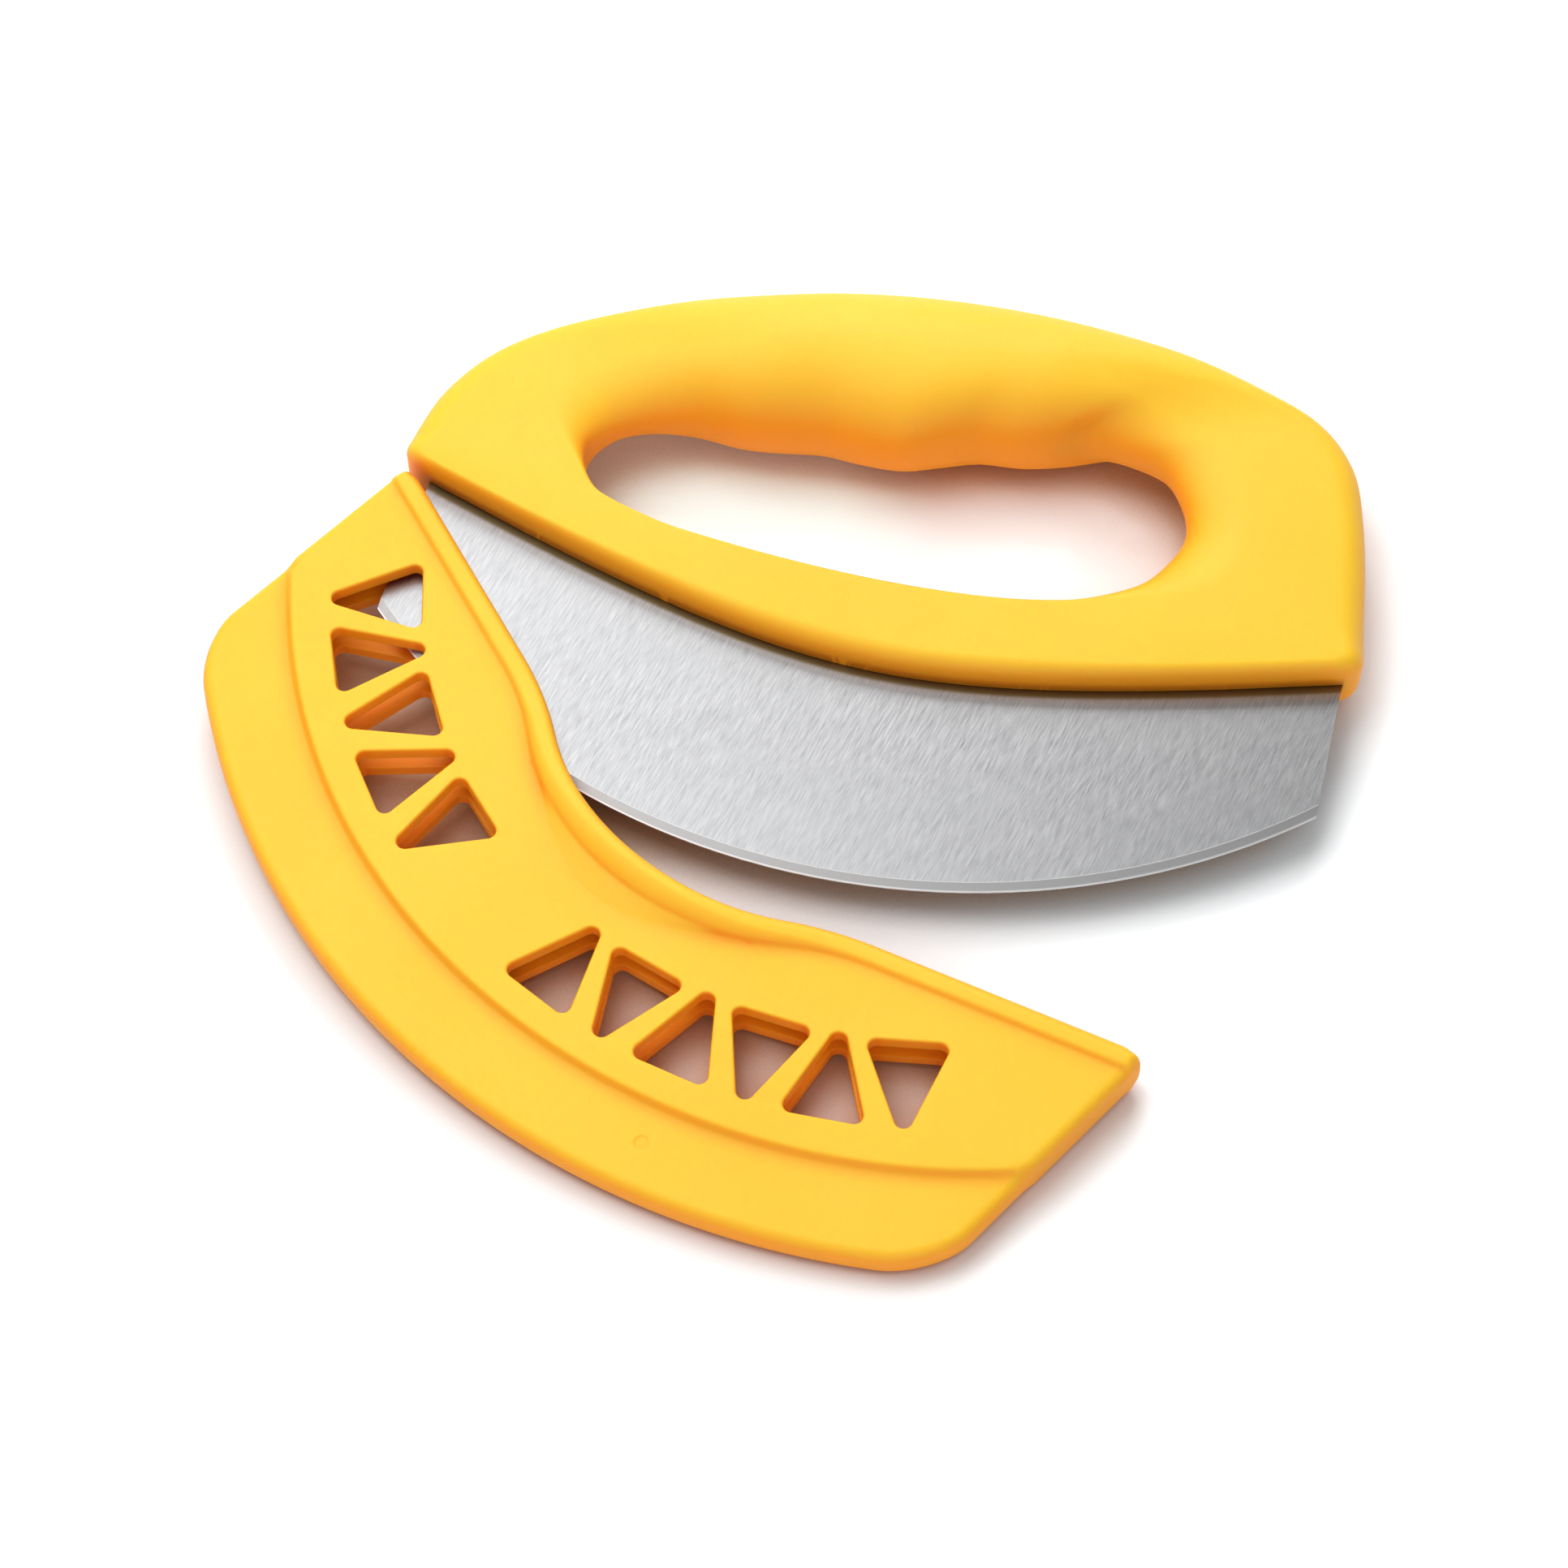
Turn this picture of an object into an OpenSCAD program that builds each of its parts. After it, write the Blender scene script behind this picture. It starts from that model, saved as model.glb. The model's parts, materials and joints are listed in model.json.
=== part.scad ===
// Rocker pizza cutter with a slip-on blade cover.
// A wide curved blade is moulded into a closed loop handle, and a flat cover slips over its edge.
// All pieces are drawn flat in the plane of the blade: x along the line between the two lower
// corners of the handle, y towards the grip, z square to the blade. lay() then sets the whole
// thing down on a table, as it lies with the cover swung off the blade.

/* [Blade] */
// Length of the blade between the two ends of its cutting edge
blade_l = 148.5; // [140:0.1:149]
// Length of the blade where it enters the handle
blade_top_l = 147.3; // [138:0.1:148]
// Thickness of the blade sheet
blade_t = 1.2; // [0.8:0.1:1.6]
// Radius of the cutting edge
edge_r = 108; // [100:1:125]
// Depth of the cutting edge below the handle's lower corners, at its middle
blade_drop = 53.8; // [48:0.1:58]
// Width of the ground bevel on each side of the cutting edge
bevel_w = 1.4; // [0.6:0.1:3]
// Thickness left at the cutting edge
edge_t = 0.2; // [0.1:0.05:0.4]
// Length of the tang hidden in the handle
tang_l = 132; // [110:1:136]
// Height of the tang above the handle's lip
tang_h = 9; // [7:0.5:10]
// Depth at which the full blade ends inside the handle's lip
shoulder_h = 1.4; // [0.8:0.1:1.8]
// Diameter of the tang's anchor holes
anchor_d = 4; // [2.5:0.5:5]
// Number of anchor holes
anchor_n = 5; // [2:1:7]
// Distance between anchor holes
anchor_pitch = 27; // [15:1:28]

/* [Handle] */
// Length of the handle between its two lower corners
handle_l = 155; // [154:0.1:165]
// Height of the grip's crest above the handle's lower corners
handle_h = 57.8; // [54:0.1:66]
// Thickness of the lower bar and of both ends
bar_t = 11.5; // [10:0.1:14]
// Thickness of the grip
grip_t = 22; // [18:0.1:26]
// Height of the lower corners above the line that the drawing is based on
corner_y = 1.6; // [0:0.1:3]
// Depth of the lip's lowest point below that line
lip_drop = 16.2; // [14:0.1:18]
// Slope that the lip nears at both ends
lip_slope = 0.37; // [0.3:0.01:0.4]
// Half width of the lip's round middle
lip_bend = 38; // [25:1:60]
// Distance of the lip's lowest point to the right of the handle's middle
lip_shift = 2.7; // [0:0.1:5]
// Rounding of the handle's lower corners in plan
corner_r = 2.6; // [1:0.1:4]
// Edge rounding beside the lip
lip_r = 3; // [1:0.1:4.5]
// Edge rounding at the outside of both ends
end_r = 5; // [2:0.1:5.5]
// Rounding of the finger hole's edge along the lower bar
hole_r = 1; // [0.5:0.1:3]
// Width of the rounding of the finger hole's edge at both ends
hole_end_w = 11; // [6:0.5:12]
// Where the thick grip begins on the left, from the middle of the handle
grip_left = 68; // [50:1:75]
// Where the thick grip ends on the right, from the middle of the handle
grip_right = 66; // [50:1:75]
// Length over which the handle swells to the grip's thickness
grip_swell = 42; // [15:1:50]
// Wall of the handle's outer skin
skin_t = 2.4; // [1.6:0.1:2.8]

/* [Finger hole] */
// Length of the finger hole
hole_l = 95.5; // [85:0.1:98]
// Height of the finger hole
hole_h = 36.9; // [30:0.1:38]
// Left end of the finger hole from the middle of the handle
hole_x = -49.3; // [-52:0.1:-45]
// Lowest point of the finger hole above the base line
hole_y = -2.2; // [-3:0.1:1]

/* [Cover] */
// Wall of the cover on each side of the blade
cover_wall = 2.2; // [1.4:0.1:3]
// Clearance between the blade and each wall
blade_gap = 0.8; // [0.4:0.1:1.5]
// Clearance at each end of the pocket
pocket_end_gap = 1.65; // [1.5:0.05:3]
// End walls of the cover
cover_end_wall = 1.35; // [1:0.05:3]
// Clearance below the middle of the cutting edge
edge_gap = 5.8; // [3:0.1:8]
// Clearance below the ends of the cutting edge
edge_end_gap = 2.3; // [1.5:0.1:4]
// Thickness of the cover's outer band
band_t = 5; // [4:0.1:6.5]
// Width of the outer band at its middle
band_w = 11; // [5:0.1:16]
// Width of the outer band at both ends
band_end_w = 18.9; // [8:0.1:24]
// Rounding of the cover's outer corners
cover_corner_r = 7; // [3:0.1:12]
// Rounding of the two tips beside the mouth
tip_r = 2.4; // [1:0.1:4]
// Slope of the mouth towards both tips
mouth_slope = 0.335; // [0.25:0.005:0.4]
// Radius of the notch in the mouth
notch_r = 42.4; // [30:0.1:60]
// Depth of the notch above the base line of the cover
notch_y = 26.5; // [20:0.1:30]
// Rounding where the notch meets the straight mouth
notch_blend_r = 55; // [20:1:80]
// Width of the ridge's sloping step beside the outer band
ridge_w = 1.6; // [0.8:0.1:3]
// Edge rounding round the cover
cover_round = 1.8; // [0.8:0.1:2.4]
// Width of the raised bead round the mouth
bead_w = 3.8; // [2.5:0.1:5]
// Height of the bead above the cover's faces
bead_h = 0.5; // [0.2:0.1:0.8]
// Edge rounding of the bead
bead_round = 1.3; // [0.6:0.1:1.8]
// Extra height of the mouth where it flares at the notch
flare_h = 1.3; // [0.4:0.1:2]
// Width of the flare at the middle of the notch
flare_w = 8.8; // [6:0.1:12]
// Half length of the flare along the mouth
flare_reach = 39; // [30:0.5:50]

/* [Windows] */
// Height of a wedge window
window_h = 14; // [8:0.5:16]
// Width of a wedge window at its base
window_w = 11.6; // [6:0.1:12]
// Rounding of the window corners
window_r = 1.3; // [0.5:0.1:2]
// Radius of the arc that the windows stand on
window_arc_r = 87.6; // [85:0.1:89]
// Angle between two windows
window_pitch = 7.1; // [6.8:0.1:8]
// Angle of the first window of the first row
window_first = -45; // [-46:0.5:-40]
// Number of windows in the first row
first_row = 5; // [1:1:5]
// Angle of the first window of the second row
window_second = 3.4; // [0:0.1:8]
// Number of windows in the second row
second_row = 6; // [1:1:6]

/* [Pose] */
// Angle by which the cover is swung off the blade
open_angle = 28.57; // [10:0.01:60]
// Pivot of that swing, to the left of the handle's middle
swing_x = -71.2; // [-74:0.05:-68]
// Pivot of that swing above the base line
swing_y = 3.3; // [-2:0.05:6]
// Distance of the closed cover to the right of the handle's middle
closed_shift = 2.5; // [0:0.05:3]
// Clearance between the closed cover's base line and the handle's lower corners
closed_gap = 2.9; // [1.5:0.05:4]
// Turn of the grip from the base line
grip_yaw = 6; // [0:0.5:12]
// Distance of the grip's resting place from the base line
grip_rest_y = 38.3; // [30:0.5:50]

/* [Fits] */
// Clearance between parts that are moulded round each other
moulding_gap = 0.08; // [0.04:0.01:0.15]

/* [Hidden] */
$fn = 96;

// Points of the handle's outer outline over both ends and the grip, from the right lower corner
// to the left one, as shares of its length and of its height above the corners
SHOULDERS = [
    [0.992, 0.16], [0.982, 0.34], [0.968, 0.52], [0.948, 0.68], [0.906, 0.805], [0.838, 0.88],
    [0.742, 0.949], [0.625, 0.984], [0.505, 0.976], [0.388, 0.918], [0.272, 0.813], [0.170, 0.685],
    [0.096, 0.57], [0.046, 0.44], [0.014, 0.28], [0.002, 0.13]
];

// Points of the finger hole from the middle of its lower edge, as shares of its length and height,
// with one wave of its upper edge for each finger
FINGER_HOLE = [
    [0.53, 0], [0.68, 0.023], [0.79, 0.068], [0.87, 0.135], [0.94, 0.276], [0.977, 0.452],
    [0.998, 0.62], [0.982, 0.785], [0.935, 0.942], [0.86, 0.996], [0.79, 1], [0.735, 0.926],
    [0.68, 0.881], [0.615, 0.861], [0.555, 0.789], [0.5, 0.727], [0.43, 0.717], [0.37, 0.725],
    [0.31, 0.7], [0.24, 0.67], [0.16, 0.67], [0.085, 0.624], [0.03, 0.543], [-0.006, 0.41],
    [0.006, 0.27], [0.037, 0.16], [0.076, 0.109], [0.142, 0.062], [0.205, 0.034], [0.364, 0.006]
];

// Steps along each stretch of an outline, and round one quarter of a handle section
CURVE_STEPS = 4;
LIP_STEPS = 12;
CORNER_STEPS = 3;
QUARTER_STEPS = 4;
ARC_STEPS = 22;
END_STEPS = 6;
FLAT = 0.1;
EPS = 0.01;

handle_mid = -1.2;
handle_left = handle_mid - handle_l / 2;
handle_right = handle_mid + handle_l / 2;
plastic = [1, 0.81, 0.27];

function mix(a, b, k) = a + (b - a) * k;
function ease(k) = let (c = min(1, max(0, k))) c * c * (3 - 2 * c);
function flip(p) = [-p[0], p[1]];
function turned(p, angle) = [
    p[0] * cos(angle) - p[1] * sin(angle),
    p[0] * sin(angle) + p[1] * cos(angle)
];

// A smooth curve through four points, between the second and the third
function through(a, b, c, d, k) =
    b + (c - a) * k / 2 + (2 * a - 5 * b + 4 * c - d) * k * k / 2 + (3 * b - a - 3 * c + d) * k * k * k / 2;
function open_curve(p, steps) = [
    for (i = [1:len(p) - 3]) for (k = [0:steps - 1])
        through(p[i - 1], p[i], p[i + 1], p[i + 2], k / steps),
    p[len(p) - 2]
];
function closed_curve(p, steps) = let (n = len(p)) [
    for (i = [0:n - 1]) for (k = [0:steps - 1])
        through(p[(i + n - 1) % n], p[i], p[(i + 1) % n], p[(i + 2) % n], k / steps)
];
// A round corner from a to c with its point at b
function corner(a, b, c, steps) = [
    for (i = [0:steps]) let (k = i / steps) mix(mix(a, b, k), mix(b, c, k), k)
];

// The handle's lip, where the blade comes out
function lip_y(x) = -lip_drop + lip_slope * (norm([x - handle_mid - lip_shift, lip_bend]) - lip_bend);
function lip_point(x) = [x, lip_y(x)];

// Outline of the handle, one closed loop from the middle of the lip and round to the right
right_tip = [handle_right, lip_y(handle_right)];
left_tip = [handle_left, lip_y(handle_left)];
shoulder_points = [for (p = SHOULDERS) [
    mix(handle_left, handle_right, p[0]), mix(corner_y, handle_h, p[1])
]];
side_start = right_tip + corner_r * [0, 1];
side_end = left_tip + corner_r * [0, 1];
handle_outline = concat(
    [for (i = [0:LIP_STEPS - 1]) lip_point(mix(handle_mid, handle_right - corner_r, i / LIP_STEPS))],
    corner(lip_point(handle_right - corner_r), right_tip, side_start, CORNER_STEPS),
    [for (p = open_curve(concat([right_tip, side_start], shoulder_points, [side_end, left_tip]),
        CURVE_STEPS))
        if (norm(p - side_start) > corner_r / 4 && norm(p - side_end) > corner_r / 4) p],
    corner(side_end, left_tip, lip_point(handle_left + corner_r), CORNER_STEPS),
    [for (i = [1:LIP_STEPS - 1]) lip_point(mix(handle_left + corner_r, handle_mid, i / LIP_STEPS))]
);
hole_left = handle_mid + hole_x;
hole_outline = closed_curve([for (p = FINGER_HOLE) [
    hole_left + p[0] * hole_l, hole_y + p[1] * hole_h
]], CURVE_STEPS);

// Distance run along a closed outline up to each of its points
function runs(p) = [
    for (i = 0, s = 0; i <= len(p); s = s + norm(p[(i + 1) % len(p)] - p[i % len(p)]), i = i + 1) s
];
outline_runs = runs(handle_outline);
hole_runs = runs(hole_outline);
outline_n = len(handle_outline);
hole_n = len(hole_outline);
hole_xs = [for (i = [0:hole_n]) [hole_runs[i], hole_outline[i % hole_n][0]]];
hole_ys = [for (i = [0:hole_n]) [hole_runs[i], hole_outline[i % hole_n][1]]];

// How far the handle has swelled to the grip at a point of its outline, from 0 to 1
function swell(p) = p[1] < handle_h / 3 ? 0 :
    ease((handle_mid + grip_right - p[0]) / grip_swell)
    * ease((p[0] - handle_mid + grip_left) / grip_swell);
// How much of the edge rounding at the ends applies, from 0 at the lip to 1 at both ends
function end_share(p) = ease((p[1] - lip_y(p[0])) / end_r);

// How round the finger hole's edge is at a point of it, from 0 on the lower bar to 1 on the grip
function hole_share(p) =
    let (height = (p[1] - hole_y) / hole_h)
    p[0] > hole_left + hole_l / 2 ? ease((height - 0.08) / 0.42) : ease((height - 0.22) / 0.36);

// One section of the loop between outer point a and inner point b, drawn in by inset
function quarter(centre, r, from) = [
    for (i = [0:QUARTER_STEPS])
        let (t = from + 90 * i / QUARTER_STEPS)
        centre + [r[0] * cos(t), r[1] * sin(t)]
];
function section(a, b, inset) =
    let (
        swollen = swell(a),
        half = norm(a - b) / 2 - inset,
        rise = mix(bar_t, grip_t, swollen) / 2 - inset,
        out_r = max(mix(lip_r, end_r, end_share(a)) - inset, FLAT),
        in_share = hole_share(b),
        end_w = max(hole_end_w - inset, FLAT),
        edge = max(hole_r - inset, FLAT),
        most = [half - FLAT, rise - FLAT],
        out_side = [for (limit = most) mix(min(out_r, limit), limit, swollen)],
        in_side = [
            mix(edge, mix(min(end_w, most[0]), most[0], swollen), in_share),
            mix(edge, most[1], in_share)
        ],
        flat = concat(
            quarter([half - out_side[0], rise - out_side[1]], out_side, 0),
            quarter([in_side[0] - half, rise - in_side[1]], in_side, 90),
            quarter([in_side[0] - half, in_side[1] - rise], in_side, 180),
            quarter([half - out_side[0], out_side[1] - rise], out_side, 270)
        ),
        mid = (a + b) / 2,
        out = (a - b) / norm(a - b)
    )
    [for (q = flat) [mid[0] + out[0] * q[0], mid[1] + out[1] * q[0], q[1]]];

// The closed loop of the handle, made of sections round the finger hole
module loop(inset, every) {
    stations = [for (i = [0:every:outline_n - 1]) i];
    n = len(stations);
    m = 4 * (QUARTER_STEPS + 1);
    points = [
        for (i = stations)
            let (share = outline_runs[i] / outline_runs[outline_n] * hole_runs[hole_n])
            each section(handle_outline[i], [lookup(share, hole_xs), lookup(share, hole_ys)], inset)
    ];
    faces = [
        for (i = [0:n - 1]) for (j = [0:m - 1])
            let (
                a = i * m + j,
                b = i * m + (j + 1) % m,
                c = ((i + 1) % n) * m + (j + 1) % m,
                d = ((i + 1) % n) * m + j
            )
            each [[a, b, c], [a, c, d]]
    ];
    polyhedron(points, faces, convexity = 8);
}

// A flat plate of a given outline, half of it on each side of the blade's middle plane
module plate(thickness) translate([0, 0, -thickness / 2]) linear_extrude(thickness) children();

// Outline of the blade with its tang, grown by gap on the tang
edge_y = edge_r - blade_drop;
function edge_point_y(x) = edge_y - sqrt(edge_r * edge_r - x * x);
function lip_strip(end, up) = [for (i = [0:LIP_STEPS])
    let (x = mix(end, -end, i / LIP_STEPS)) [x, lip_y(x) + up]];
module blade_outline(gap) {
    half = blade_l / 2;
    edge_end_y = edge_point_y(half);
    shoulder_end = blade_top_l / 2 + gap;
    tang_end = tang_l / 2 + gap;
    polygon(concat(
        [[-half, edge_end_y], [-half, -edge_r], [half, -edge_r], [half, edge_end_y]],
        lip_strip(shoulder_end, shoulder_h + gap)
    ));
    polygon(concat([[-tang_end, -lip_drop], [tang_end, -lip_drop]], lip_strip(tang_end, tang_h + gap)));
}
module anchor_holes(d) {
    for (i = [0:anchor_n - 1]) {
        x = (i - (anchor_n - 1) / 2) * anchor_pitch;
        translate([x, lip_y(x) + (tang_h + shoulder_h) / 2]) circle(d = d);
    }
}
module blade() color("silver") lay() intersection() {
    plate(2 * blade_t) difference() {
        blade_outline(0);
        anchor_holes(anchor_d);
    }
    translate([0, edge_y, 0]) rotate_extrude($fn = 360) polygon([
        [0, -blade_t / 2], [edge_r - bevel_w, -blade_t / 2], [edge_r, -edge_t / 2],
        [edge_r, edge_t / 2], [edge_r - bevel_w, blade_t / 2], [0, blade_t / 2]
    ]);
}
// Room for the blade and its tang, with the plastic that fills the anchor holes left in
module blade_slot() plate(blade_t + 2 * moulding_gap) difference() {
    blade_outline(moulding_gap);
    anchor_holes(anchor_d - 2 * moulding_gap);
}

module handle_core() color("gold") lay() difference() {
    loop(skin_t + moulding_gap, 2);
    blade_slot();
}
module handle_skin() color(plastic) lay() difference() {
    loop(0, 1);
    loop(skin_t, 2);
    blade_slot();
}

// The cover has its own flat drawing: x along it, y from its base line at the mouth towards the
// outer arc. Closed on the blade, its base line lies closed_gap below the handle's lower corners.
blade_low = blade_drop + corner_y - closed_gap;
blade_corner = -edge_point_y(blade_l / 2) + corner_y - closed_gap;
pocket_l = blade_l + 2 * pocket_end_gap;
cover_l = pocket_l + 2 * cover_end_wall;
pocket_t = blade_t + 2 * blade_gap;
cover_t = pocket_t + 2 * cover_wall;

// Radius and centre of an arc over the middle at height top, and at height side at distance x
function rise_r(top, side, x) = ((top - side) * (top - side) + x * x) / (2 * (top - side));
pocket_top = blade_low + edge_gap;
pocket_side = blade_corner + edge_end_gap;
pocket_r = rise_r(pocket_top, pocket_side, blade_l / 2);
pocket_c = [0, pocket_top - pocket_r];
ridge_r = pocket_r + cover_wall;
ridge_end_y = pocket_c[1] + sqrt(ridge_r * ridge_r - cover_l * cover_l / 4);
outer_top = pocket_c[1] + ridge_r + band_w;
outer_r = rise_r(outer_top, ridge_end_y + band_end_w, cover_l / 2);
outer_c = [0, outer_top - outer_r];

// The mouth: a straight slope on each side and a round notch in the middle, with a blend between
notch_c = [0, notch_y - notch_r];
mouth_up = [mouth_slope, 1] / norm([1, mouth_slope]);
mouth_foot = [blade_l / 2, 0];
blend_c =
    let (
        along = [-mouth_up[1], mouth_up[0]],
        start = mouth_foot + mouth_up * notch_blend_r - notch_c,
        reach = notch_r + notch_blend_r,
        back = start * along
    )
    notch_c + start - along * (back + sqrt(back * back - start * start + reach * reach));
blend_from = (blend_c - mouth_up * notch_blend_r)[0];
blend_to = (notch_c + (blend_c - notch_c) * notch_r / (notch_r + notch_blend_r))[0];

// How far a corner of radius r falls back at distance d from the end of the cover
function fall(d, r) = d >= r ? 0 : r - sqrt(r * r - (r - d) * (r - d));
function end_distance(x) = cover_l / 2 - abs(x);
// The mouth, the ridge beyond the pocket and the far edge, at distance x from the cover's middle
function straight_mouth(x) = (mouth_foot[0] - abs(x)) * mouth_slope;
function blend_mouth(x) = blend_c[1] - sqrt(pow(notch_blend_r, 2) - pow(abs(x) - blend_c[0], 2));
function notch_mouth(x) = notch_c[1] + sqrt(notch_r * notch_r - x * x);
function mouth_edge(x) = fall(end_distance(x), tip_r) + (
    abs(x) > blend_from ? straight_mouth(x) : abs(x) > blend_to ? blend_mouth(x) : notch_mouth(x));
function ridge_edge(x) = pocket_c[1] + sqrt(ridge_r * ridge_r - x * x);
function far_edge(x) =
    outer_c[1] + sqrt(outer_r * outer_r - x * x) - fall(end_distance(x), cover_corner_r);
// How much wider a strip of the mouth is when it is cut straight across the cover
function across(x) = norm([1, (mouth_edge(x + EPS) - mouth_edge(x - EPS)) / (2 * EPS)]);

// One straight cut across the cover: bead and flare at the mouth, flat wall, ridge, outer band
function cover_section(x) =
    let (
        wide = end_distance(x) < tip_r ? 1 : across(x),
        share = ease(1 - abs(x) / flare_reach),
        face = cover_t / 2,
        band = band_t / 2,
        top = face + bead_h + flare_h * share,
        mouth = mouth_edge(x),
        ridge = ridge_edge(x),
        far = far_edge(x),
        part = 1 - cos(45),
        half = [
            [mouth, top - bead_round],
            [mouth + bead_round * part * wide, top - bead_round * part],
            [mouth + bead_round * wide, top],
            [mouth + (bead_w - bead_round / 2) * wide, top],
            [mouth + bead_w * wide, mix(top, face, 0.6)],
            [mouth + max(bead_w + bead_h, flare_w * share) * wide, face],
            [ridge - ridge_w, face],
            [ridge - ridge_w / 2, mix(face, band, 0.2)],
            [ridge, mix(face, band, 0.8)],
            [ridge + ridge_w / 2, band],
            [far - cover_round, band],
            [far - cover_round * part, band - cover_round * part],
            [far, band - cover_round]
        ],
        drop = fall(end_distance(x), cover_round),
        low = [for (q = half) [q[0], q[1] - drop]]
    )
    concat(
        [for (q = low) [x, q[0], q[1]]],
        [for (i = [len(low) - 1:-1:0]) [x, low[i][0], -low[i][1]]]
    );

// The outside of the cover, built of cuts that stand closer together at both ends
module cover_body() {
    end_x = cover_l / 2 - cover_corner_r;
    one_side = concat(
        [for (i = [0:END_STEPS]) cover_l / 2 - cover_corner_r * (1 - cos(90 * i / END_STEPS))],
        [for (i = [1:ARC_STEPS]) end_x * (1 - i / ARC_STEPS)]
    );
    stations = concat(one_side, [for (i = [len(one_side) - 2:-1:0]) -one_side[i]]);
    sections = [for (x = stations) cover_section(x)];
    n = len(sections);
    m = len(sections[0]);
    polyhedron([for (s = sections) each s], concat(
        [[for (j = [0:m - 1]) j]],
        [for (i = [0:n - 2]) for (j = [0:m - 1])
            let (a = i * m + j, b = i * m + (j + 1) % m)
            each [[a, a + m, b], [b, a + m, b + m]]],
        [[for (j = [m - 1:-1:0]) (n - 1) * m + j]]
    ), convexity = 8);
}

module pocket_outline() intersection() {
    translate(pocket_c) circle(pocket_r, $fn = 360);
    translate([-pocket_l / 2, -pocket_r]) square([pocket_l, 2 * pocket_r]);
}
// A wedge window with round corners, its base away from or towards the notch
module window(up) {
    tall = window_h / 2 - window_r;
    wide = window_w / 2 - window_r;
    lean = up ? 1 : -1;
    top = [0, lean * tall];
    base = [for (side = [-1, 1]) [side * wide, -lean * tall]];
    angle = atan2(2 * tall, wide);
    across = window_r * [sin(angle), lean * cos(angle)];
    for (p = concat([top], base)) translate(p) circle(window_r, $fn = 24);
    polygon([top + flip(across), base[0] + flip(across), base[0] + [0, -lean * window_r],
        base[1] + [0, -lean * window_r], base[1] + across, top + across]);
}
module window_row(first, count, offset) {
    for (i = [0:count - 1])
        translate(pocket_c) rotate(-(first + i * window_pitch)) translate([0, window_arc_r])
            window((i + offset) % 2 == 0);
}

module blade_cover() color(plastic) lay() at_cover() difference() {
    cover_body();
    plate(pocket_t) pocket_outline();
    plate(2 * cover_t) {
        window_row(window_first, first_row, 0);
        window_row(window_second, second_row, 1);
    }
}

// Where the cover lies: closed on the blade, then swung off it round the pivot
pivot = [handle_mid + swing_x, swing_y];
closed_at = [handle_mid + closed_shift, corner_y - closed_gap];
cover_at = pivot + turned(closed_at - pivot, -open_angle);
module at_cover()
    translate([cover_at[0], cover_at[1], 0]) rotate(-open_angle) mirror([0, 1, 0]) children();
function from_cover(p) = cover_at + turned([p[0], -p[1]], -open_angle);

// The whole thing lies on the back of the grip and on the ridge of the cover's pocket
function in_grip(p) = turned(p, -grip_yaw);
cover_rest_y = in_grip(from_cover(pocket_c))[1] - ridge_r + ridge_w;
tilt = atan((grip_t - cover_t) / 2 / (grip_rest_y - cover_rest_y));
lift = cover_t / 2 * cos(tilt) - cover_rest_y * sin(tilt);
extent = [for (p = concat(handle_outline, [for (i = [-ARC_STEPS:ARC_STEPS])
    let (x = i / ARC_STEPS * cover_l / 2) from_cover([x, far_edge(x)])]))
    in_grip(p)];
function span_mid(axis) = (min([for (p = extent) p[axis]]) + max([for (p = extent) p[axis]])) / 2;
module lay()
    translate([-span_mid(0), -span_mid(1) * cos(tilt), lift])
        rotate([tilt, 0, 0]) rotate([0, 0, -grip_yaw]) children();

blade();
handle_core();
handle_skin();
blade_cover();
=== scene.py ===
"""Rocker pizza cutter with a slip-on blade cover: its looks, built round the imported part.

Shapes are drawn in millimetres in the plane of the blade, as in the part's source: x along the
line between the handle's two lower corners, y towards the grip, z square to the blade. lay() takes
them to where the thing lies on the table, in metres.
"""

import json
import math

import bmesh
import bpy
import numpy as np
from mathutils import Matrix, Vector
from mathutils.geometry import delaunay_2d_cdt

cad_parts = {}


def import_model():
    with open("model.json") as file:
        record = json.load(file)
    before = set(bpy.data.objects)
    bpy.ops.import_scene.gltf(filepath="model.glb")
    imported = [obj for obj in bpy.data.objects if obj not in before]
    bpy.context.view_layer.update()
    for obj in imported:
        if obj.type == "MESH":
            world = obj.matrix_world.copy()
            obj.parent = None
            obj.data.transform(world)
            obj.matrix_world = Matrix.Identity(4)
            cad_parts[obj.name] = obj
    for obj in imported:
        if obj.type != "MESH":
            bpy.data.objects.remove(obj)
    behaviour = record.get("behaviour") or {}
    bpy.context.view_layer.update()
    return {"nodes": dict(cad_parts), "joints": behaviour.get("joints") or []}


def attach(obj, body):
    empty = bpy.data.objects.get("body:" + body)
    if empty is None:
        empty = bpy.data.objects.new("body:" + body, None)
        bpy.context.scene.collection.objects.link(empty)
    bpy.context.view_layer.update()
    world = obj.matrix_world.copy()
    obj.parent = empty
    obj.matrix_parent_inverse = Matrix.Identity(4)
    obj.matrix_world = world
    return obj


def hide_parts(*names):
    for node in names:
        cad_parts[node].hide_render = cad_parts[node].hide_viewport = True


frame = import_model()

MM = 0.001
# Points closer together than this count as one place, and points this close are welded
NEAR = 0.01
WELD = 0.004

# Handle
HANDLE_MID = -1.2
HANDLE_L = 155.0
HANDLE_H = 57.8
BAR_T = 11.5
GRIP_T = 22.0
CORNER_Y = 1.6
LIP_DROP = 16.2
LIP_SLOPE = 0.37
LIP_BEND = 38.0
LIP_SHIFT = 2.7
CORNER_R = 2.6
LIP_R = 3.0
END_R = 5.0
HOLE_R = 1.0
HOLE_END_W = 11.0
GRIP_LEFT = 68.0
GRIP_RIGHT = 66.0
GRIP_SWELL = 42.0
HOLE_L = 95.5
HOLE_H = 36.9
HOLE_X = -49.3
HOLE_Y = -2.2

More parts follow.
